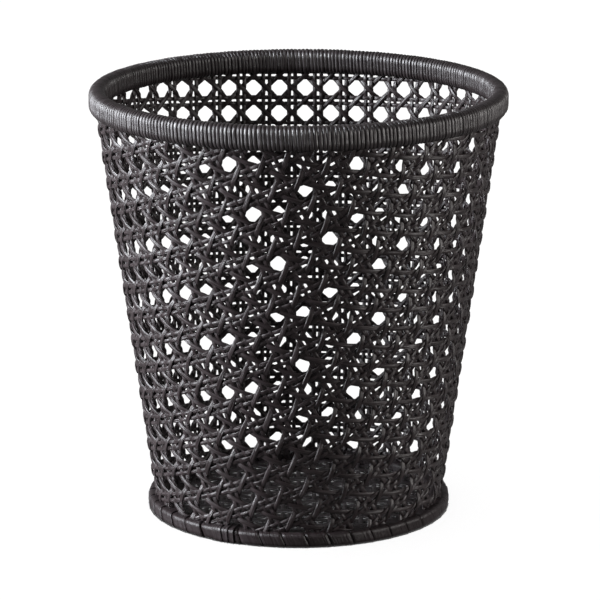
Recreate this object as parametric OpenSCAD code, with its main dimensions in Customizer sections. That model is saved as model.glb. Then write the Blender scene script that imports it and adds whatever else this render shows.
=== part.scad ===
// Woven cane wastebasket: an open, tapered basket of octagonal cane webbing.
// The webbing is one flat sheet rolled into a cone, so every strand is straight in the flat
// sheet and curves only as the cone does. A hoop set wound with cane finishes the rim, a
// second one the foot, and a plain-woven panel closes the bottom.
// Millimetres, +Z up, origin on the axis at the plane that the basket stands on.

/* [Overall] */
// Height from the floor to the top of the rim
height = 305; // [250:1:360]
// Outer diameter of the rim
rim_d = 294; // [270:1:320]
// Outer diameter of the foot
foot_d = 216; // [190:1:230]

/* [Rim] */
// Width of the wound rim, across the wall
rim_w = 12; // [11:0.5:15]
// Height of the wound rim
rim_h = 17.5; // [16:0.5:24]

/* [Foot] */
// Width of the wound foot, across the wall
foot_w = 14; // [14:0.5:18]
// Height of the wound foot
foot_h = 10; // [10:0.5:16]
// How far the foot stands out from the wall
foot_overhang = 5; // [4:0.5:7]

/* [Webbing] */
// Distance between neighbouring pairs of strands
mesh_pitch = 18.75; // [17:0.05:26]
// Distance between the two strands of a pair, centre to centre
pair_gap = 4.4; // [4:0.1:6.5]
// Width of an upright or crosswise strand
strand_w = 2.9; // [1.8:0.1:3.2]
// Width of a diagonal strand
diagonal_w = 3.3; // [2.2:0.1:4]
// Thickness of a strand
strand_t = 0.9; // [0.6:0.1:1]

/* [Base] */
// Distance between neighbouring strips of the bottom panel
base_pitch = 11; // [9:0.5:16]
// Width of a crosswise strip of the bottom panel
weft_w = 7.6; // [5:0.1:8.6]
// Width of a lengthwise strip of the bottom panel
warp_w = 3.4; // [3:0.1:6]

/* [Hidden] */

$fn = 96;

// Wound cane and clearances
wrap_t = 1.1;
clear = 0.2;
rim_round = 5.4;
foot_round = 2;

// Radial layers of the wall, from its inner face outwards
layer_step = 1.3;
crosswise_layer = 0;
falling_layer = 1;
upright_layer = 2;
rising_layer = 3;
wall_t = rising_layer * layer_step + strand_t;

// The cone of the wall's outer face, between the top of the foot and the underside of the rim
rim_z = height - rim_h;
wall_top_r = rim_d / 2 - 5.1;
wall_foot_r = foot_d / 2 - foot_overhang;
lean = atan((wall_top_r - wall_foot_r) / (rim_z - foot_h));
inner_foot_r = wall_foot_r - wall_t / cos(lean);
apex_z = foot_h - inner_foot_r / tan(lean);

// Slant distances from the apex, along the wall's inner face
rim_cover = 9.5;
foot_cover = 5.2;
slant_low = (foot_h - foot_cover - apex_z) / cos(lean);
slant_high = (rim_z + rim_cover - apex_z) / cos(lean);

// The sheet's two edges meet at the seam. Turns are counted clockwise from the back, seen
// from above, and the strands run true to the basket's axis at true_turn.
seam_turn = 105;
true_turn = 2;
sheet_low = (seam_turn - 360 - true_turn) * sin(lean);
sheet_high = (seam_turn - true_turn) * sin(lean);
seam_gap = 0.2;
// A strand shorter than this is left out
shortest = 6;
far_away = 1e6;

// Where the sheet's pattern starts, as fractions of the mesh
column_phase = 0.5;
row_phase = 0.585;

// Longest straight stretch of a strand, by family
crosswise_step = 24;
diagonal_step = 34;
upright_step = 60;

// Bottom panel
base_z = 1.4;
base_layer = 1.3;
base_gap = 0.2;
base_r = foot_d / 2 - 5;
base_slot = 0.25;

// Brads through the hoops
rim_brad_count = 16;
foot_brad_count = 12;
brad_d = 1.4;

// Splice of the foot's winding: turns of narrow strip beside each other, from splice_turn on
splice_turn = 204;
splice_widths = [4.6, 4.9, 9];
splice_t = 0.8;
splice_gap = 0.3;

cane = "#2b2a2c";
cane_dark = "#1d1c1e";
cane_light = "#3a383a";
pole = "#4b4037";
steel = "silver";

// ---- Points on the rolled sheet ----

// A point of the flat sheet, height h above the inner face, carried onto the cone.
// [x, y] is measured from the apex, with +Y along the true strands.
function on_cone(x, y, h) =
  let(slant = norm([x, y]),
      turn = atan2(x, y) / sin(lean) + true_turn,
      r = slant * sin(lean) + h * cos(lean))
  [r * sin(turn), r * cos(turn), apex_z + slant * cos(lean) - h * sin(lean)];

// A point on a straight line of the flat sheet. The line's normal is at angle a from +X,
// c is the line's distance from the apex along it, and t is the place along the line.
function flat_at(c, a, t) = [c * cos(a) - t * sin(a), c * sin(a) + t * cos(a)];

// The limit that one edge of the sheet sets on t, as [lowest, highest]
function edge_limit(c, a, edge, side) =
  let(k = side * c * cos(a + edge),
      m = -side * sin(a + edge),
      t = -k / m)
  m > 0 ? [t, far_away] : [-far_away, t];

// The stretches of a strand w wide that lie between the sheet's ends, before its edges cut
// them. Both long sides of the strand stay on the sheet.
function ring_stretches(c, w) =
  let(inner = max(abs(c) - w / 2, 0),
      outer = abs(c) + w / 2,
      far = sqrt(max(pow(slant_high, 2) - pow(outer, 2), 0)),
      near = sqrt(max(pow(slant_low, 2) - pow(inner, 2), 0)))
  near > 0 ? [[-far, -near], [near, far]] : [[-far, far]];

// Every stretch of a strand w wide that lies on the sheet
function stretches(c, a, w) =
  let(limits = [for (side = [-1, 1])
        each [edge_limit(c + side * w / 2, a, sheet_low, 1),
              edge_limit(c + side * w / 2, a, sheet_high, -1)]],
      low = max([for (limit = limits) limit[0]]) + seam_gap,
      high = min([for (limit = limits) limit[1]]) - seam_gap)
  [for (s = ring_stretches(c, w))
    let(from = max(s[0], low), to = min(s[1], high))
    if (to - from > shortest) [from, to]];

// ---- Strands ----

// Faces of a three-sided strand with n rings of points
function strand_faces(n) = concat(
  [[0, 1, 2]],
  [for (i = [0 : n - 2], k = [0 : 2])
    let(p = 3 * i + k, q = 3 * i + (k + 1) % 3)
    each i % 2 == 0 ? [[p, p + 3, q + 3], [p, q + 3, q]] : [[p, p + 3, q], [q, p + 3, q + 3]]],
  [[3 * n - 1, 3 * n - 2, 3 * n - 3]]);

// One strand of split cane: flat towards the inside, crowned towards the outside
module strand(c, a, span, w, layer, step) {
  n = max(2, ceil((span[1] - span[0]) / step) + 1);
  floor_h = layer * layer_step;
  rings = [for (i = [0 : n - 1])
    let(t = span[0] + (span[1] - span[0]) * i / (n - 1),
        left = flat_at(c - w / 2, a, t),
        right = flat_at(c + w / 2, a, t),
        mid = flat_at(c, a, t))
    each [on_cone(left.x, left.y, floor_h),
          on_cone(right.x, right.y, floor_h),
          on_cone(mid.x, mid.y, floor_h + strand_t)]];
  polyhedron(rings, strand_faces(n));
}

// A family of parallel strands, at offset + k * gap from the apex for every k that fits
module family(a, gap, offset, w, layer, step) {
  most = ceil(slant_high / gap) + 1;
  for (k = [-most : most])
    let(c = offset + k * gap)
    if (abs(c) < slant_high)
      for (span = stretches(c, a, w))
        strand(c, a, span, w, layer, step);
}

module uprights(side) {
  offset = column_phase * mesh_pitch + side * pair_gap / 2;
  family(0, mesh_pitch, offset, strand_w, upright_layer, upright_step);
}

module crosswise(side) {
  offset = row_phase * mesh_pitch + side * pair_gap / 2;
  family(90, mesh_pitch, offset, strand_w, crosswise_layer, crosswise_step);
}

// Diagonals cross halfway between the pairs
module diagonals(a, layer) {
  gap = mesh_pitch / sqrt(2);
  offset = (column_phase * cos(a) + row_phase * sin(a)) * mesh_pitch + gap / 2;
  family(a, gap, offset, diagonal_w, layer, diagonal_step);
}

module wall_uprights_first() {
  color(cane) uprights(-1);
}

module wall_uprights_second() {
  color(cane_light) uprights(1);
}

module wall_crosswise_lower() {
  color(cane) crosswise(-1);
}

module wall_crosswise_upper() {
  color(cane_light) crosswise(1);
}

// Rising and falling to the right, seen from outside the basket
module wall_diagonals_rising() {
  color(cane_dark) diagonals(45, rising_layer);
}

module wall_diagonals_falling() {
  color(cane_dark) diagonals(135, falling_layer);
}

// ---- Sections of the rim and the foot, in [radius, z] ----

// Rectangle with round corners, drawn from its lower inner corner
module rounded(w, h, r) {
  for (x = [r, w - r], y = [r, h - r])
    translate([x, y]) circle(r);
  translate([r, 0]) square([w - 2 * r, h]);
  translate([0, r]) square([w, h - 2 * r]);
}

module ring_section(outer_r, z, w, h, r, inset) {
  translate([outer_r - w + inset, z + inset])
    rounded(w - 2 * inset, h - 2 * inset, r - inset);
}

module rim_section(inset) {
  ring_section(rim_d / 2, rim_z, rim_w, rim_h, rim_round, inset);
}

module foot_section(inset) {
  ring_section(foot_d / 2, 0, foot_w, foot_h, foot_round, inset);
}

// Radius of the wall's faces at height z: out is 0 at the inner face and 1 at the outer one
function wall_r(z, out) =
  inner_foot_r + (z - foot_h) * tan(lean) + out * wall_t / cos(lean);

// The strip that the wall takes up in a section, between two heights
module wall_section(low, high, grow) {
  polygon([
    [wall_r(low, 0) - grow, low],
    [wall_r(low, 1) + grow, low],
    [wall_r(high, 1) + grow, high],
    [wall_r(high, 0) - grow, high]
  ]);
}

// Everything outside (side 1) or inside (side -1) the wall in a section
module wall_side(low, high, side) {
  near = side > 0 ? 1 : 0;
  reach = 40;
  polygon([
    [wall_r(low, near) + side * clear, low],
    [wall_r(low, near) + side * reach, low],
    [wall_r(high, near) + side * reach, high],
    [wall_r(high, near) + side * clear, high]
  ]);
}

module brads(count, z, low_r, high_r, d) {
  for (i = [0 : count - 1])
    rotate([0, 0, 360 * (i + 0.5) / count])
      translate([low_r, 0, z])
        rotate([0, 90, 0])
          cylinder(h = high_r - low_r, d = d, $fn = 24);
}

// ---- Rim ----

top_hoop_d = 4.4;
top_hoop_z = height - wrap_t - clear - top_hoop_d / 2;
rim_core_top = top_hoop_z - top_hoop_d / 2 - clear;
rim_brad_z = rim_z + 5.5;
rim_in = rim_d / 2 - rim_w + wrap_t + clear;
rim_out = rim_d / 2 - wrap_t - clear;
brad_hole = brad_d + 0.1;

module rim_hoop(side) {
  rotate_extrude()
    intersection() {
      rim_section(wrap_t + clear);
      wall_side(rim_z, rim_core_top, side);
    }
}

module rim_outer_hoop() {
  color(pole)
    difference() {
      rim_hoop(1);
      brads(rim_brad_count, rim_brad_z, rim_in + clear, rim_out + 1, brad_hole);
    }
}

module rim_inner_hoop() {
  color(pole)
    difference() {
      rim_hoop(-1);
      brads(rim_brad_count, rim_brad_z, rim_in - 1, rim_out, brad_hole);
    }
}

// Round rod that caps the cut edge of the webbing
module rim_top_hoop() {
  color(pole)
    rotate_extrude()
      translate([rim_d / 2 - rim_w / 2, top_hoop_z])
        circle(d = top_hoop_d);
}

module rim_brads() {
  color(steel)
    brads(rim_brad_count, rim_brad_z, rim_in + 0.3, rim_out - 0.5, brad_d);
}

// The wound cane as a sleeve, open below where the wall comes out
module rim_wrap() {
  color(cane)
    rotate_extrude()
      difference() {
        rim_section(0);
        rim_section(wrap_t);
        wall_section(rim_z - 1, rim_z + rim_round, clear);
      }
}

// ---- Foot ----

wall_end_z = foot_h - foot_cover;
foot_brad_z = foot_h - 2.9;
foot_in = foot_d / 2 - foot_w + wrap_t + clear;
foot_out = foot_d / 2 - wrap_t - clear;
base_top = base_z + 2 * base_layer + base_gap;

module foot_outer_hoop() {
  color(pole)
    difference() {
      rotate_extrude()
        intersection() {
          foot_section(wrap_t + clear);
          wall_side(base_top + clear, foot_h, 1);
        }
      brads(foot_brad_count, foot_brad_z, foot_in, foot_out + 1, brad_hole);
    }
}

module foot_inner_hoop() {
  color(pole)
    difference() {
      rotate_extrude()
        intersection() {
          foot_section(wrap_t + clear);
          wall_side(base_top + clear, foot_h, -1);
        }
      brads(foot_brad_count, foot_brad_z, foot_in - 1, foot_out, brad_hole);
    }
}

module foot_brads() {
  color(steel)
    brads(foot_brad_count, foot_brad_z, foot_in + 0.4, foot_out - 0.4, brad_d);
}

// The wound strip as a sleeve, open above for the wall and inside for the bottom panel
module foot_wrap() {
  color(cane)
    rotate_extrude()
      difference() {
        foot_section(0);
        foot_section(wrap_t);
        wall_section(foot_h - foot_round, foot_h + 1, clear);
        translate([foot_d / 2 - foot_w - 1, base_z - base_slot])
          square([foot_round + 1, base_top - base_z + 2 * base_slot]);
      }
}

// Width of the first n turns of the splice together
function splice_reach(n) = n == 0 ? 0 : splice_widths[n - 1] + splice_reach(n - 1);

// Turn at which the middle of turn i of the splice lies
function splice_middle(i) =
  splice_turn + (splice_reach(i) + splice_widths[i] / 2) / (foot_d / 2) * 180 / PI;

// Narrow turns that lock the ends of the foot's strip, outside the sleeve
module foot_splice() {
  color(cane_dark)
    for (i = [0 : len(splice_widths) - 1])
      rotate([0, 0, 90 - splice_middle(i)])
        rotate([90, 0, 0])
          translate([0, 0, -(splice_widths[i] - splice_gap) / 2])
            linear_extrude(splice_widths[i] - splice_gap)
              difference() {
                translate([splice_t, 0])
                  foot_section(0);
                foot_section(0);
                translate([foot_d / 2 - foot_w - 1, -1])
                  square([foot_w / 2 + 1, foot_h + 2]);
              }
}

// ---- Bottom panel ----

module base_strips(w, z) {
  most = floor(base_r / base_pitch);
  intersection() {
    translate([0, 0, z])
      cylinder(h = base_layer, r = base_r);
    for (k = [-most : most])
      translate([-base_r, k * base_pitch - w / 2, z])
        cube([2 * base_r, w, base_layer]);
  }
}

module base_warps() {
  color(cane_dark)
    rotate([0, 0, 90])
      base_strips(warp_w, base_z);
}

module base_wefts() {
  color(cane)
    base_strips(weft_w, base_z + base_layer + base_gap);
}

rim_outer_hoop();
rim_inner_hoop();
rim_top_hoop();
rim_brads();
rim_wrap();
wall_uprights_first();
wall_uprights_second();
wall_crosswise_lower();
wall_crosswise_upper();
wall_diagonals_rising();
wall_diagonals_falling();
foot_outer_hoop();
foot_inner_hoop();
foot_brads();
foot_wrap();
foot_splice();
base_warps();
base_wefts();
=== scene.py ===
"""Looks for a wastebasket of black cane webbing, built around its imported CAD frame.

The wall's webbing is one flat sheet rolled into a cone. Every strand is straight in the flat
sheet, so the strands are laid out there, woven over and under each other, and then carried
onto the cone. The rim and the foot are wound with cane, turn by turn.
"""

import math

import bpy
import numpy as np
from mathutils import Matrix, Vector


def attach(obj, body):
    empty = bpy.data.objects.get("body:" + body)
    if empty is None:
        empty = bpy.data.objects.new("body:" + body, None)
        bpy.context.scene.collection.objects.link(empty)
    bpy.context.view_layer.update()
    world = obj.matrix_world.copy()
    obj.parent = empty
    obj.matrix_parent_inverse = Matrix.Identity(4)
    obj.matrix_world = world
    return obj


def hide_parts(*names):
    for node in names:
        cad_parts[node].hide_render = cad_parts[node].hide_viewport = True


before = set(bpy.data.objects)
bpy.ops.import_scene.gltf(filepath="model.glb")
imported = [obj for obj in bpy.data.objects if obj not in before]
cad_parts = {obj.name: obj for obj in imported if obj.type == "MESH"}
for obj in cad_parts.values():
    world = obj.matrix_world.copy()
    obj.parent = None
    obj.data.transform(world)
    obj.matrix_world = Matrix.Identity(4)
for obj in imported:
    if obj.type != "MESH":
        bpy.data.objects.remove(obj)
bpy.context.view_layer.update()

MM = 0.001
BODY = "root"
rng = np.random.default_rng(27)

# ---- Driving dimensions, in millimetres, as in the CAD model ----

HEIGHT = 305.0
RIM_D = 294.0
RIM_W = 12.0
RIM_H = 17.5
RIM_ROUND = 5.4
FOOT_D = 216.0
FOOT_W = 14.0
FOOT_H = 10.0
FOOT_ROUND = 2.0
FOOT_OVERHANG = 5.0
WALL_INSET = 5.1
WALL_T = 4.8
RIM_COVER = 9.5
FOOT_COVER = 5.2

MESH_PITCH = 18.75
PAIR_GAP = 4.4
STRAND_W = 2.9
DIAGONAL_W = 3.3
# Thicker than the CAD model's strands, which lie apart in four layers
STRAND_T = 1.3
# Turns are in degrees, clockwise from the back, seen from above. The sheet's edges meet at
# SEAM_TURN, and its strands run true to the basket's axis at TRUE_TURN.
SEAM_TURN = 105.0
TRUE_TURN = 2.0
# Where the sheet's pattern starts, in cells of the mesh
COLUMN_PHASE = 0.5
ROW_PHASE = 0.585
# How far the strands of each edge reach in among those of the other edge
SEAM_TUCK = 2.0
# A strand shorter than this is left out
SHORTEST = 6.0
# Where the sheet begins to slip, and over how many degrees the slip comes on
SLIP_START = 183.0
SLIP_EASE = 4.0
# The slip up the cone and onwards round it, for each radian past the start
SLIP_UP = 14.9
SLIP_ON = 5.2

# Height of the webbing's middle above the wall's inner face
MIDDLE = 3.5
# The crosswise pairs lie outside the uprights, each this far from the webbing's middle, and
# their strands swing so far from there
PAIR_OFFSET = 0.28
PAIR_SWING = 0.43
# How far a diagonal swings from the middle. A rising one goes over the crosswise pairs and
# under the uprights, a falling one over the uprights and under the crosswise pairs.
RISING_SWING = 1.35
FALLING_SWING = 0.7
# How quickly a diagonal changes between its two levels
PLATEAU_EDGE = 1.8
# Distance between two rings of points along a diagonal and along a paired strand
DIAGONAL_STEP = 1.7
PAIR_STEP = 1.3
# Distance between the places along a line that are tested for lying on the wall
SEARCH_STEP = 0.5

# How a strand wanders along its length, as (amount, wavelength): its lift and its sideways
# place in mm, its width as a share, and its roll about its own length in radians
LIFT_DRIFT = (0.12, 60)
ASIDE_DRIFT = (0.28, 75)
WIDTH_DRIFT = (0.07, 120)
ROLL_DRIFT = (0.12, 50)
# The narrowest and the widest strand, as shares of the width
WIDTH_SPREAD = (0.93, 1.06)
# The waves that a drift is made of, as (waves in a wavelength, amount)
DRIFT_WAVES = ((1.0, 0.6), (2.3, 0.3), (4.1, 0.2))

# The cone of the wall's inner face, and the slant distances where the webbing ends
RIM_Z = HEIGHT - RIM_H
WALL_TOP_R = RIM_D / 2 - WALL_INSET
WALL_FOOT_R = FOOT_D / 2 - FOOT_OVERHANG
LEAN = math.atan((WALL_TOP_R - WALL_FOOT_R) / (RIM_Z - FOOT_H))
SIN_LEAN = math.sin(LEAN)
COS_LEAN = math.cos(LEAN)
INNER_FOOT_R = WALL_FOOT_R - WALL_T / COS_LEAN
APEX_Z = FOOT_H - INNER_FOOT_R / math.tan(LEAN)
SLANT_LOW = (FOOT_H - FOOT_COVER - APEX_Z) / COS_LEAN
SLANT_HIGH = (RIM_Z + RIM_COVER - APEX_Z) / COS_LEAN


# ---- Meshes ----


def tube_faces(rings, points):
    """Quads and end caps of a tube with that many rings of points, wound one way."""
    i, k = np.meshgrid(np.arange(rings - 1), np.arange(points), indexing="ij")
    after = (k + 1) % points
    quads = np.stack(
        [i * points + k, i * points + after, (i + 1) * points + after, (i + 1) * points + k],
        axis=-1,
    ).reshape(-1, 4)
    start = list(range(points))[::-1]
    end = [(rings - 1) * points + k for k in range(points)]
    return quads.tolist() + [start, end]


def volume_sign(verts, rings, points):
    """Whether the faces of tube_faces point out of the tube (1) or into it (-1)."""
    middle = rings // 2
    ring = verts[middle * points:(middle + 1) * points]
    ahead = verts[min(middle + 1, rings - 1) * points:][:points].mean(axis=0)
    behind = verts[max(middle - 1, 0) * points:][:points].mean(axis=0)
    turned = np.roll(ring, -1, axis=0)
    area = np.cross(ring - ring.mean(axis=0), turned - ring.mean(axis=0)).sum(axis=0)
    return 1 if np.dot(area, ahead - behind) > 0 else -1


def sharpen(mesh, points, corners):
    """Keep the lengthwise edges at these corners of the section crisp."""
    ends = np.empty(2 * len(mesh.edges), dtype=int)
    mesh.edges.foreach_get("vertices", ends)
    first, second = ends[::2], ends[1::2]
    sharp = (abs(first - second) == points) & np.isin(first % points, corners)
    attribute = mesh.attributes.new("sharp_edge", "BOOLEAN", "EDGE")
    attribute.data.foreach_set("value", sharp)


def tube_object(name, tubes, corners=()):
    """One object from tubes, all with the same points in their section. Each is a dict of verts
    in mm and grain, both [rings, points, 3]. corners are the points of the section whose
    lengthwise edges are crisp."""
    verts, faces, grain = [], [], []
    count = 0
    for tube in tubes:
        rings, points, _ = tube["verts"].shape
        flat = tube["verts"].reshape(-1, 3)
        made = tube_faces(rings, points)
        if volume_sign(flat, rings, points) < 0:
            made = [face[::-1] for face in made]
        faces.extend([[v + count for v in face] for face in made])
        verts.append(flat)
        grain.append(tube["grain"].reshape(-1, 3))
        count += len(flat)
    mesh = bpy.data.meshes.new(name)
    mesh.from_pydata((np.concatenate(verts) * MM).tolist(), [], faces)
    mesh.polygons.foreach_set("use_smooth", [True] * len(mesh.polygons))
    sharpen(mesh, points, corners)
    attribute = mesh.attributes.new("grain", "FLOAT_VECTOR", "POINT")
    attribute.data.foreach_set("vector", np.concatenate(grain).astype(np.float32).ravel())
    mesh.update()
    obj = bpy.data.objects.new(name, mesh)
    bpy.context.scene.collection.objects.link(obj)
    return obj


def grain_of(along, section):
    """Grain coordinates: mm along the strand, mm round its section, and the strand's own number."""
    steps = np.hypot(*np.diff(section, axis=0, append=section[:1]).T)
    across = np.concatenate([[0.0], np.cumsum(steps)[:-1]])
    own = rng.uniform(0, 1)
    out = np.empty((len(along), len(section), 3))
    out[..., 0] = along[:, None]
    out[..., 1] = across[None, :]
    out[..., 2] = own
    return out


def drift(t, wavelength):
    """Smooth wandering between about -1 and 1 along t, different at each call."""
    total = np.zeros_like(t, dtype=float)
    for waves, amount in DRIFT_WAVES:
        total += amount * np.sin(2 * np.pi * waves * t / wavelength + rng.uniform(0, 2 * np.pi))
    return total


def wander(t, how):
    """A drift of how much and over which wavelength, as in LIFT_DRIFT."""
    amount, wavelength = how
    return amount * drift(t, wavelength)


# ---- The flat sheet ----


def settled(x, y):
    """Slant distance and turn (in radians) at which a point of the flat sheet comes to lie. Past
    SLIP_START the sheet was wrapped a little slack, and has slipped up the cone and onwards."""
    slant = np.hypot(x, y)
    turn = np.arctan2(x, y) / SIN_LEAN + math.radians(TRUE_TURN)
    past = np.maximum(0.0, math.radians(SLIP_START - 360) - turn)
    slack = past**2 / (past + math.radians(SLIP_EASE))
    return slant + SLIP_UP * slack, turn - SLIP_ON * slack / (slant * SIN_LEAN)


def flat_at(c, a, t):
    """The place t along a straight line of the flat sheet, whose normal is at angle a from X."""
    return c * math.cos(a) - t * math.sin(a), c * math.sin(a) + t * math.cos(a)


def on_cone(x, y, h):
    """Points of the flat sheet, h above its inner face, carried onto the cone."""
    slant, turn = settled(x, y)
    r = slant * SIN_LEAN + h * COS_LEAN
    z = APEX_Z + slant * COS_LEAN - h * SIN_LEAN
    return np.stack([r * np.sin(turn), r * np.cos(turn), z], axis=-1)


def stretches(c, a, w):
    """Every stretch of a strand w wide whose two long sides lie on the wall. The strand's line
    is c from the apex, and its normal is at angle a from the sheet's X."""
    t = np.arange(-SLANT_HIGH, SLANT_HIGH, SEARCH_STEP)
    inside = np.ones(len(t), dtype=bool)
    for side in (c - w / 2, c + w / 2):
        x, y = flat_at(side, a, t)
        slant, turn = settled(x, y)
        tuck = SEAM_TUCK / (slant * SIN_LEAN)
        inside &= (slant > SLANT_LOW) & (slant < SLANT_HIGH)
        inside &= turn > math.radians(SEAM_TURN - 360) - tuck
        inside &= turn < math.radians(SEAM_TURN) + tuck
    ends = np.flatnonzero(np.diff(np.concatenate([[False], inside, [False]]).astype(int)))
    found = [(t[start], t[end - 1]) for start, end in zip(ends[::2], ends[1::2])]
    return [(low, high) for low, high in found if high - low > SHORTEST]


def ripple(offset):
    """Swing of a paired strand: over one strand of each pair that it crosses, under the other."""
    return np.sin(4 * np.pi * offset)


def plateau(offset):
    """Swing of a diagonal: up over whole numbers of the mesh, down halfway between them."""
    return np.tanh(PLATEAU_EDGE * np.cos(2 * np.pi * offset)) / math.tanh(PLATEAU_EDGE)


def cane_section():
    """Outline of split cane, as shares of its width and thickness: a flat back and a crowned face."""
    return np.array(
        [
            (-0.50, -0.05), (-0.42, -0.50), (0.42, -0.50), (0.50, -0.05),
            (0.38, 0.36), (0.13, 0.50), (-0.13, 0.50), (-0.38, 0.36),
        ]
    )


# Points of that outline at the sides of the strand and at the edges of its crown
CANE_CORNERS = (0, 3, 4, 7)


def woven_strand(c, a, span, w, step, swing):
    """One strand of the webbing, w wide, along the line at c and a. swing(u, v) is how far it is
    lifted from the webbing's middle at a place in cells of the mesh."""
    n = max(3, math.ceil((span[1] - span[0]) / step) + 1)
    t = np.linspace(span[0], span[1], n)
    x0, y0 = flat_at(c, a, t)
    u = x0 / MESH_PITCH - COLUMN_PHASE
    v = y0 / MESH_PITCH - ROW_PHASE
    lift = swing(u, v) + wander(t, LIFT_DRIFT)
    aside = wander(t, ASIDE_DRIFT)
    width = w * (1 + wander(t, WIDTH_DRIFT)) * rng.uniform(*WIDTH_SPREAD)
    roll = wander(t, ROLL_DRIFT)
    outline = cane_section()
    section = outline * [w, STRAND_T]
    across = outline[None, :, 0] * width[:, None]
    up = outline[None, :, 1] * STRAND_T + across * roll[:, None] + lift[:, None]
    x = x0[:, None] + (across + aside[:, None]) * math.cos(a)
    y = y0[:, None] + (across + aside[:, None]) * math.sin(a)
    return {"verts": on_cone(x, y, MIDDLE + up), "grain": grain_of(t, section)}


def family(name, a, gap, offset, w, step, swing):
    """All the parallel strands whose lines are offset + k * gap from the apex."""
    most = math.ceil(SLANT_HIGH / gap) + 1
    tubes = []
    for k in range(-most, most + 1):
        c = offset + k * gap
        if abs(c) < SLANT_HIGH:
            for span in stretches(c, a, w):
                tubes.append(woven_strand(c, a, span, w, step, swing))
    return tube_object(name, tubes, CANE_CORNERS)


def uprights(name, side):
    offset = COLUMN_PHASE * MESH_PITCH + side * PAIR_GAP / 2
    return family(
        name, 0.0, MESH_PITCH, offset, STRAND_W, PAIR_STEP,
        lambda u, v: -PAIR_OFFSET - side * PAIR_SWING * ripple(v),
    )


def crosswise(name, side):
    offset = ROW_PHASE * MESH_PITCH + side * PAIR_GAP / 2
    return family(
        name, math.pi / 2, MESH_PITCH, offset, STRAND_W, PAIR_STEP,
        lambda u, v: PAIR_OFFSET + side * PAIR_SWING * ripple(u),
    )


def rising(u, v):
    """Swing of the diagonals that rise to the right, seen from outside."""
    return RISING_SWING * plateau(v)


def falling(u, v):
    """Swing of the diagonals that fall to the right, seen from outside."""
    return FALLING_SWING * plateau(u)


def diagonals(name, degrees, swing):
    a = math.radians(degrees)
    gap = MESH_PITCH / math.sqrt(2)
    offset = (COLUMN_PHASE * math.cos(a) + ROW_PHASE * math.sin(a)) * MESH_PITCH + gap / 2
    return family(name, a, gap, offset, DIAGONAL_W, DIAGONAL_STEP, swing)


# ---- Wound rim and foot ----

CORNER_POINTS = 12
# A winding is pressed flat against the floor
LOWEST = 0.02
# The grain's own number changes by OWN_STEP each turn, OWN_SHIFT of a turn before its mark
OWN_STEP = 0.6180339
OWN_SHIFT = 0.02


def rounded_outline(w, h, r):
    """Points and outward normals round a rectangle with round corners, from the middle of its
    lower side outwards, with the share of its length at each point."""
    points, normals = [(0.0, -h / 2)], [(0.0, -1.0)]
    for corner_x, corner_y, start in ((1, -1, -90), (1, 1, 0), (-1, 1, 90), (-1, -1, 180)):
        centre_x, centre_y = corner_x * (w / 2 - r), corner_y * (h / 2 - r)
        for angle in np.radians(start + np.linspace(0, 90, CORNER_POINTS)):
            normal = (math.cos(angle), math.sin(angle))
            points.append((centre_x + r * normal[0], centre_y + r * normal[1]))
            normals.append(normal)
    points.append(points[0])
    normals.append(normals[0])
    points, normals = np.array(points), np.array(normals)
    length = np.concatenate([[0.0], np.cumsum(np.hypot(*np.diff(points, axis=0).T))])
    return points, normals, length / length[-1]


def winding(marks, per_turn, outline, centre_r, centre_z, section, swell):
    """One strand wound round a ring. marks says where it crosses the ring's lower side, in
    degrees, once a turn, and runs one turn past each end. section holds (share of the turn's
    width, mm outwards) at each point of the strand's outline. swell is how many mm each turn
    may stand out or lie deeper."""
    turns = len(marks) - 3
    points, normals, share = outline
    tau = np.linspace(0, turns, turns * per_turn + 1)
    s = tau % 1.0
    x = np.interp(s, share, points[:, 0])
    z = np.interp(s, share, points[:, 1])
    nx = np.interp(s, share, normals[:, 0])
    nz = np.interp(s, share, normals[:, 1])
    size = np.hypot(nx, nz)
    nx, nz = nx / size, nz / size

    def place(t):
        return np.interp(t + 1, np.arange(len(marks)), marks)

    width = abs(place(tau + 1) - place(tau - 1)) / 2
    around = np.radians(place(tau)[:, None] + section[None, :, 0] * width[:, None])
    depth = np.interp(tau, np.arange(turns + 1), rng.uniform(-swell, swell, turns + 1))
    out = section[None, :, 1] + depth[:, None]
    r = centre_r + x[:, None] + out * nx[:, None]
    height = np.maximum(centre_z + z[:, None] + out * nz[:, None], LOWEST)
    verts = np.stack([r * np.cos(around), r * np.sin(around), height], axis=-1)
    perimeter = np.hypot(*np.diff(points, axis=0).T).sum()
    flat = np.stack([section[:, 0] * np.radians(width.mean()) * centre_r, section[:, 1]], axis=-1)
    grain = grain_of(tau * perimeter, flat)
    grain[..., 2] = (np.floor(tau + OWN_SHIFT) * OWN_STEP)[:, None] % 1.0
    return {"verts": verts, "grain": grain}


def marks_round(turns, start, stray):
    """Marks of a winding that goes once round a ring, clockwise from start, in degrees from +X.
    stray is how far a mark may lie from its place, as a share of a turn's width."""
    steps = np.arange(turns) + rng.uniform(-stray, stray, turns)
    steps = np.concatenate([[steps[-1] - turns], steps, steps[:2] + turns])
    return start - 360 * steps / turns


RIM_TURNS = 318
RIM_TURN_POINTS = 26
RIM_STRAND_T = 1.35
RIM_STRAY = 0.14
RIM_SWELL = 0.16
# The crown of the rim's strand: an arc this many radians to each side, fuller as the power falls
CROWN_REACH = 1.5
CROWN_POWER = 0.55
CROWN_POINTS = 9
# How far the strand's back lies within the outline that it is wound on
CROWN_ROOT = 0.2


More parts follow.
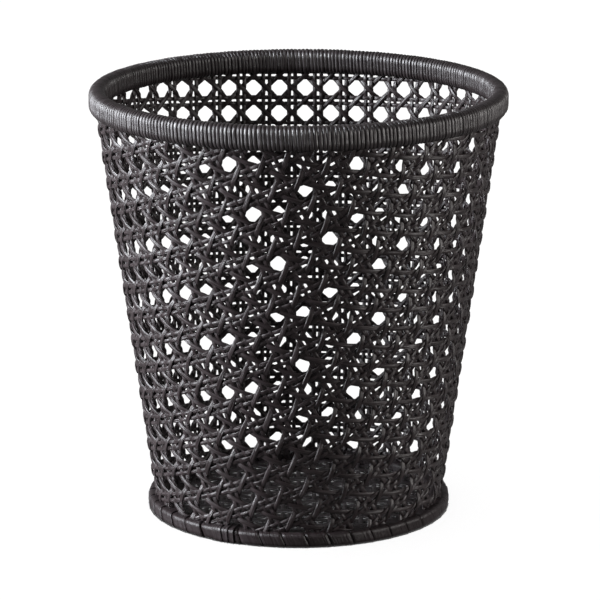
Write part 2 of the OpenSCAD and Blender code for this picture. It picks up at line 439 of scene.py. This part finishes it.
def rim_winding():
    t = RIM_STRAND_T
    crown = [
        (0.5 * math.sin(a), t * max(0, math.cos(a)) ** CROWN_POWER)
        for a in np.linspace(-CROWN_REACH, CROWN_REACH, CROWN_POINTS)
    ]
    section = np.array([(-0.5, -CROWN_ROOT)] + crown + [(0.5, -CROWN_ROOT)])
    outline = rounded_outline(RIM_W - 2 * t, RIM_H - 2 * t, RIM_ROUND - t)
    marks = marks_round(RIM_TURNS, 90 - SEAM_TURN, RIM_STRAY)
    tube = winding(
        marks, RIM_TURN_POINTS, outline, RIM_D / 2 - RIM_W / 2, RIM_Z + RIM_H / 2,
        section, RIM_SWELL,
    )
    return tube_object("rim_winding", [tube])


FOOT_TURNS = 43
FOOT_TURN_POINTS = 44
FOOT_STRIP_T = 1.0
FOOT_STRAY = 0.06
FOOT_SWELL = 0.05
# Where a turn of the foot begins and ends, in turns from its middle: the rest is a groove
FOOT_EDGES = (-0.5, 0.465)
# How far the edge of a turn stands up beside the groove
FOOT_CURL = 0.4
# From the foot's surface to the underside of its winding
FOOT_INSET = 1.3
STRIP_POINTS = 8


def strip_section(edges, curl):
    """A flat strip between two edges, in shares of a turn. It rises slowly across its width and
    curls up at its far edge."""
    shares = np.linspace(*edges, STRIP_POINTS)
    last = STRIP_POINTS - 1
    rise = [curl * (0.2 * k / last + 0.8 * (k / last) ** 7) for k in range(STRIP_POINTS)]
    lower = [(shares[k], rise[k]) for k in (0, STRIP_POINTS // 2, last)]
    upper = [(shares[k], rise[k] + FOOT_STRIP_T) for k in range(STRIP_POINTS)]
    return np.array([lower[0]] + upper + lower[:0:-1])


def foot_outline(grow):
    """The foot's outline inside its winding, grown by so many millimetres."""
    inset = FOOT_INSET - grow
    return rounded_outline(FOOT_W - 2 * inset, FOOT_H - 2 * inset, FOOT_ROUND - FOOT_INSET / 2)


# Splice of the foot's strip: narrow turns beside each other, over the winding
SPLICE_TURN = 204.0
SPLICE_WIDTHS = (4.6, 4.9, 9.0)
SPLICE_GROW = 0.7
SPLICE_EDGES = (-0.5, 0.46)
SPLICE_CURL = 0.5


def foot_tube(marks, grow, edges, curl):
    """The foot's strip wound through the marks, on an outline grown by so many millimetres."""
    return winding(
        marks, FOOT_TURN_POINTS, foot_outline(grow), FOOT_D / 2 - FOOT_W / 2, FOOT_H / 2,
        strip_section(edges, curl), FOOT_SWELL,
    )


def foot_winding():
    marks = marks_round(FOOT_TURNS, 90 - SPLICE_TURN, FOOT_STRAY)
    return tube_object("foot_winding", [foot_tube(marks, 0, FOOT_EDGES, FOOT_CURL)])


def foot_splice_turns():
    across = np.degrees(np.array(SPLICE_WIDTHS) / (FOOT_D / 2))
    start = 90 - SPLICE_TURN - across[0] / 2
    beyond = across.sum() + across[-1]
    marks = start - np.concatenate([[-across[0], 0], np.cumsum(across), [beyond]])
    tube = foot_tube(marks, SPLICE_GROW, SPLICE_EDGES, SPLICE_CURL)
    return tube_object("foot_splice_turns", [tube])


# ---- Bottom panel ----

BASE_PITCH = 11.0
WEFT_W = 7.6
WARP_W = 3.4
BASE_R = FOOT_D / 2 - 5
BASE_STRIP_T = 1.7
# Height of the panel's middle, and how far a strip swings from it
BASE_Z = 2.8
BASE_SWING = 0.55
BASE_STEP = 1.8
BASE_DRIFT = (0.25, 80)


def base_strips(name, w, crosswise_strips, swing):
    """Parallel strips of the round panel, along X if crosswise and along Y if not, each swinging
    the other way from its neighbours."""
    tubes = []
    most = int(BASE_R // BASE_PITCH)
    for k in range(-most, most + 1):
        c = k * BASE_PITCH
        reach = math.sqrt(max(0, BASE_R**2 - (abs(c) + w / 2) ** 2))
        if reach < SHORTEST:
            continue
        t = np.linspace(-reach, reach, int(2 * reach / BASE_STEP) + 2)
        lift = swing * (-1) ** k * np.cos(np.pi * t / BASE_PITCH)
        aside = c + wander(t, BASE_DRIFT)
        outline = cane_section() * [w, BASE_STRIP_T]
        across = outline[None, :, 0] + aside[:, None]
        along = np.broadcast_to(t[:, None], across.shape)
        z = BASE_Z + outline[None, :, 1] + lift[:, None]
        x, y = (along, across) if crosswise_strips else (across, along)
        tubes.append({"verts": np.stack([x, y, z], axis=-1), "grain": grain_of(t, outline)})
    return tube_object(name, tubes)


# ---- Materials ----

# Lookup scales of the grain: along the strand and round it per mm, and from strand to strand
FIBRE_SCALE = (0.05, 1.25, 900.0)
PATCH_SCALE = (0.035, 0.3, 700.0)
# Share of the fibres in the tone: the rest is patches
FIBRE_SHARE = 0.5
# Where the tone leaves its darkest and reaches its lightest
TONE_RANGE = (0.40, 0.62)
CANE_BUMP = 0.55 * MM
# How far the fibres take the roughness below and above its middle
ROUGHNESS_SPREAD = (0.1, 0.12)
# The darkest dye, and the lightest tone of each material
DYE = (0.0066, 0.0044, 0.0046)
WEBBING_TONE = (0.0180, 0.0135, 0.0142)
WOUND_TONE = (0.0165, 0.0128, 0.0135)
STRIP_TONE = (0.0130, 0.0100, 0.0107)
BASE_TONE = (0.024, 0.0195, 0.0205)
POLE_TONES = ((0.02, 0.014, 0.010), (0.06, 0.04, 0.028))


def cane_material(name, light, roughness, specular):
    """Dyed cane: fine streaks along each strand, and a tone of its own for each strand."""
    material = bpy.data.materials.new(name)
    material.use_nodes = True
    tree = material.node_tree
    nodes, link = tree.nodes, tree.links.new
    shader = nodes["Principled BSDF"]
    shader.inputs["Specular IOR Level"].default_value = specular
    grain = nodes.new("ShaderNodeAttribute")
    grain.attribute_name = "grain"

    def stretched(scale):
        """A noise looked up by the grain, once that is multiplied by scale."""
        scaled = nodes.new("ShaderNodeVectorMath")
        scaled.operation = "MULTIPLY"
        scaled.inputs[1].default_value = scale
        link(grain.outputs["Vector"], scaled.inputs[0])
        noise = nodes.new("ShaderNodeTexNoise")
        noise.inputs["Scale"].default_value = 1.0
        noise.inputs["Detail"].default_value = 3.0
        link(scaled.outputs["Vector"], noise.inputs["Vector"])
        return noise.outputs["Fac"]

    fibres = stretched(FIBRE_SCALE)
    patches = stretched(PATCH_SCALE)
    tone = nodes.new("ShaderNodeMix")
    tone.data_type = "FLOAT"
    tone.inputs["Factor"].default_value = FIBRE_SHARE
    link(patches, tone.inputs[2])
    link(fibres, tone.inputs[3])
    ramp = nodes.new("ShaderNodeValToRGB")
    for stop, position, colour in zip(ramp.color_ramp.elements, TONE_RANGE, (DYE, light)):
        stop.position = position
        stop.color = (*colour, 1)
    link(tone.outputs[0], ramp.inputs["Fac"])
    link(ramp.outputs["Color"], shader.inputs["Base Color"])

    rough = nodes.new("ShaderNodeMapRange")
    rough.inputs["From Min"].default_value = 0.3
    rough.inputs["From Max"].default_value = 0.7
    rough.inputs["To Min"].default_value = roughness - ROUGHNESS_SPREAD[0]
    rough.inputs["To Max"].default_value = roughness + ROUGHNESS_SPREAD[1]
    link(fibres, rough.inputs["Value"])
    link(rough.outputs["Result"], shader.inputs["Roughness"])

    bump = nodes.new("ShaderNodeBump")
    bump.inputs["Strength"].default_value = 1.0
    bump.inputs["Distance"].default_value = CANE_BUMP
    link(fibres, bump.inputs["Height"])
    link(bump.outputs["Normal"], shader.inputs["Normal"])
    return material


def pole_material(name):
    """Rattan pole under the winding, with a fine mottled grain."""
    material = bpy.data.materials.new(name)
    material.use_nodes = True
    nodes, link = material.node_tree.nodes, material.node_tree.links.new
    shader = nodes["Principled BSDF"]
    shader.inputs["Roughness"].default_value = 0.6
    place = nodes.new("ShaderNodeTexCoord")
    noise = nodes.new("ShaderNodeTexNoise")
    noise.inputs["Scale"].default_value = 900.0
    noise.inputs["Detail"].default_value = 4.0
    ramp = nodes.new("ShaderNodeValToRGB")
    for stop, colour in zip(ramp.color_ramp.elements, POLE_TONES):
        stop.color = (*colour, 1)
    link(place.outputs["Object"], noise.inputs["Vector"])
    link(noise.outputs["Fac"], ramp.inputs["Fac"])
    link(ramp.outputs["Color"], shader.inputs["Base Color"])
    bump = nodes.new("ShaderNodeBump")
    bump.inputs["Strength"].default_value = 0.4
    bump.inputs["Distance"].default_value = 0.1 * MM
    link(noise.outputs["Fac"], bump.inputs["Height"])
    link(bump.outputs["Normal"], shader.inputs["Normal"])
    return material


def metal_material(name):
    """Plain steel wire, a little uneven in its gloss."""
    material = bpy.data.materials.new(name)
    material.use_nodes = True
    nodes, link = material.node_tree.nodes, material.node_tree.links.new
    shader = nodes["Principled BSDF"]
    shader.inputs["Metallic"].default_value = 1.0
    shader.inputs["Base Color"].default_value = (0.5, 0.5, 0.5, 1)
    noise = nodes.new("ShaderNodeTexNoise")
    noise.inputs["Scale"].default_value = 2500.0
    rough = nodes.new("ShaderNodeMapRange")
    rough.inputs["To Min"].default_value = 0.3
    rough.inputs["To Max"].default_value = 0.55
    link(noise.outputs["Fac"], rough.inputs["Value"])
    link(rough.outputs["Result"], shader.inputs["Roughness"])
    return material


def finish_piece(obj, material, slot, *nodes):
    """Give a new piece its material, and hide the CAD nodes that it replaces. The slot is not used.
    """
    obj.data.materials.clear()
    obj.data.materials.append(material)
    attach(obj, BODY)
    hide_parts(*nodes)
    return obj


# CAD nodes that stay as they are, under a better material
POLES = ["rim_outer_hoop", "rim_inner_hoop", "rim_top_hoop", "foot_outer_hoop", "foot_inner_hoop"]
BRADS = ["rim_brads", "foot_brads"]


def cad_finish(material, names):
    for name in names:
        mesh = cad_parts[name].data
        mesh.materials.clear()
        mesh.materials.append(material)


# ---- Camera, light and stage, in metres ----

CAMERA_LENS = 217.8
CAMERA_SENSOR = 36.0
CAMERA_PLACE = (0.001, -2.5, 0.788)
CAMERA_DOWN = 14.32

WORLD_STRENGTH = 0.25
FLOOR_REACH = 12.0
BACKDROP_REACH = 0.99 * FLOOR_REACH
BACKDROP_H = 9.0
FLOOR_TONE = 0.93

# Soft lamps: their places, sizes, watts and colours, and the point that they look at
LAMP_TARGET = (0, 0, 0.15)
KEY_PLACE, KEY_SIZE, KEY_WATTS = (-1.82, -0.27, 0.75), (0.9, 1.5), 284
KEY_COLOUR = (0.92, 0.95, 1.0)
FILL_PLACE, FILL_SIZE, FILL_WATTS = (1.8, -0.5, 0.4), (1.0, 1.3), 62
FILL_COLOUR = (1.0, 0.97, 0.95)
FLOOR_LAMP_PLACE = (0, 0, 3)
FLOOR_LAMP_STRENGTH = 2.8


def make_camera():
    data = bpy.data.cameras.new("camera")
    data.lens = CAMERA_LENS
    data.sensor_width = CAMERA_SENSOR
    data.clip_end = 100.0
    camera = bpy.data.objects.new("camera", data)
    camera.location = CAMERA_PLACE
    camera.rotation_euler = (math.radians(90 - CAMERA_DOWN), 0, 0)
    bpy.context.scene.collection.objects.link(camera)
    bpy.context.scene.camera = camera


def add_light(name, kind, place, target, lit):
    """A lamp that lights only the collection lit."""
    data = bpy.data.lights.new(name, kind)
    light = bpy.data.objects.new(name, data)
    light.location = place
    light.rotation_euler = (Vector(target) - Vector(place)).to_track_quat("-Z", "Y").to_euler()
    light.light_linking.receiver_collection = lit
    bpy.context.scene.collection.objects.link(light)
    return light


def softbox(name, place, size, watts, colour, lit):
    light = add_light(name, "AREA", place, LAMP_TARGET, lit)
    light.data.shape = "RECTANGLE"
    light.data.size, light.data.size_y = size
    light.data.energy = watts
    light.data.color = colour


def floor_lamp(lit, blockers):
    """Even light on the floor alone, in which only the blockers throw a shadow."""
    light = add_light("floor_lamp", "SUN", FLOOR_LAMP_PLACE, (0, 0, 0), lit)
    light.data.energy = FLOOR_LAMP_STRENGTH
    light.light_linking.blocker_collection = blockers


def make_world():
    world = bpy.data.worlds.new("studio")
    world.use_nodes = True
    back = world.node_tree.nodes["Background"]
    back.inputs["Color"].default_value = (1.0, 1.0, 1.0, 1)
    back.inputs["Strength"].default_value = WORLD_STRENGTH
    bpy.context.scene.world = world
    bpy.context.scene.view_settings.view_transform = "Standard"


def make_floor():
    """A pale floor that throws no light back at the basket."""
    mesh = bpy.data.meshes.new("floor")
    ends = ((-1, -1), (1, -1), (1, 1), (-1, 1))
    corners = [(x * FLOOR_REACH, y * FLOOR_REACH, 0) for x, y in ends]
    mesh.from_pydata(corners, [], [(0, 1, 2, 3)])
    floor = bpy.data.objects.new("floor", mesh)
    bpy.context.scene.collection.objects.link(floor)
    pale = bpy.data.materials.new("pale_floor")
    pale.use_nodes = True
    shader = pale.node_tree.nodes["Principled BSDF"]
    shader.inputs["Base Color"].default_value = (FLOOR_TONE, FLOOR_TONE, FLOOR_TONE, 1)
    shader.inputs["Roughness"].default_value = 0.8
    shader.inputs["Specular IOR Level"].default_value = 0.0
    mesh.materials.append(pale)
    floor.visible_diffuse = False
    floor.visible_glossy = False
    return floor


def make_backdrop():
    """A white wall round the floor that only the camera sees, so that it lights nothing."""
    around = np.radians(np.arange(0, 360, 5))
    count = len(around)
    verts = [
        (BACKDROP_REACH * math.cos(a), BACKDROP_REACH * math.sin(a), z)
        for z in (0, BACKDROP_H) for a in around
    ]
    faces = [(k, (k + 1) % count, (k + 1) % count + count, k + count) for k in range(count)]
    mesh = bpy.data.meshes.new("backdrop")
    mesh.from_pydata(verts, [], faces)
    backdrop = bpy.data.objects.new("backdrop", mesh)
    bpy.context.scene.collection.objects.link(backdrop)
    white = bpy.data.materials.new("white_backdrop")
    white.use_nodes = True
    shader = white.node_tree.nodes["Principled BSDF"]
    shader.inputs["Base Color"].default_value = (0, 0, 0, 1)
    shader.inputs["Specular IOR Level"].default_value = 0.0
    shader.inputs["Emission Color"].default_value = (1, 1, 1, 1)
    shader.inputs["Emission Strength"].default_value = 1.1
    mesh.materials.append(white)
    backdrop.visible_diffuse = False
    backdrop.visible_glossy = False
    backdrop.visible_shadow = False


def collection_of(name, objects):
    group = bpy.data.collections.new(name)
    for obj in objects:
        group.objects.link(obj)
    return group


make_camera()
make_world()
floor = make_floor()
make_backdrop()

webbing = cane_material("cane_webbing", WEBBING_TONE, 0.36, 0.20)
wound = cane_material("cane_winding", WOUND_TONE, 0.38, 0.36)
strip = cane_material("foot_strip", STRIP_TONE, 0.38, 0.14)
base_cane = cane_material("base_cane", BASE_TONE, 0.36, 0.4)
pole = pole_material("rattan_pole")
brad = metal_material("brad_steel")

pieces = [
    finish_piece(uprights("uprights_first", -1), webbing, "cane_webbing", "wall_uprights_first"),
    finish_piece(uprights("uprights_second", 1), webbing, "cane_webbing", "wall_uprights_second"),
    finish_piece(crosswise("crosswise_lower", -1), webbing, "cane_webbing", "wall_crosswise_lower"),
    finish_piece(crosswise("crosswise_upper", 1), webbing, "cane_webbing", "wall_crosswise_upper"),
    finish_piece(
        diagonals("diagonals_rising", 45, rising),
        webbing, "cane_webbing", "wall_diagonals_rising",
    ),
    finish_piece(
        diagonals("diagonals_falling", 135, falling),
        webbing, "cane_webbing", "wall_diagonals_falling",
    ),
    finish_piece(rim_winding(), wound, "cane_winding", "rim_wrap"),
    finish_piece(foot_winding(), strip, "foot_strip", "foot_wrap"),
    finish_piece(foot_splice_turns(), strip, "foot_strip", "foot_splice"),
    finish_piece(
        base_strips("base_weft_strips", WEFT_W, True, BASE_SWING),
        base_cane, "base_cane", "base_wefts",
    ),
    finish_piece(
        base_strips("base_warp_strips", WARP_W, False, -BASE_SWING),
        base_cane, "base_cane", "base_warps",
    ),
]
cad_finish(pole, POLES)
cad_finish(brad, BRADS)

shown_nodes = [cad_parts[name] for name in POLES + BRADS]
basket = collection_of("basket", pieces + shown_nodes)
only_floor = collection_of("only_floor", [floor])
low = [piece for piece in pieces if piece.name.startswith(("base", "foot"))]
low_pieces = collection_of("low_pieces", low)
softbox("key", KEY_PLACE, KEY_SIZE, KEY_WATTS, KEY_COLOUR, basket)
softbox("fill", FILL_PLACE, FILL_SIZE, FILL_WATTS, FILL_COLOUR, basket)
floor_lamp(only_floor, low_pieces)
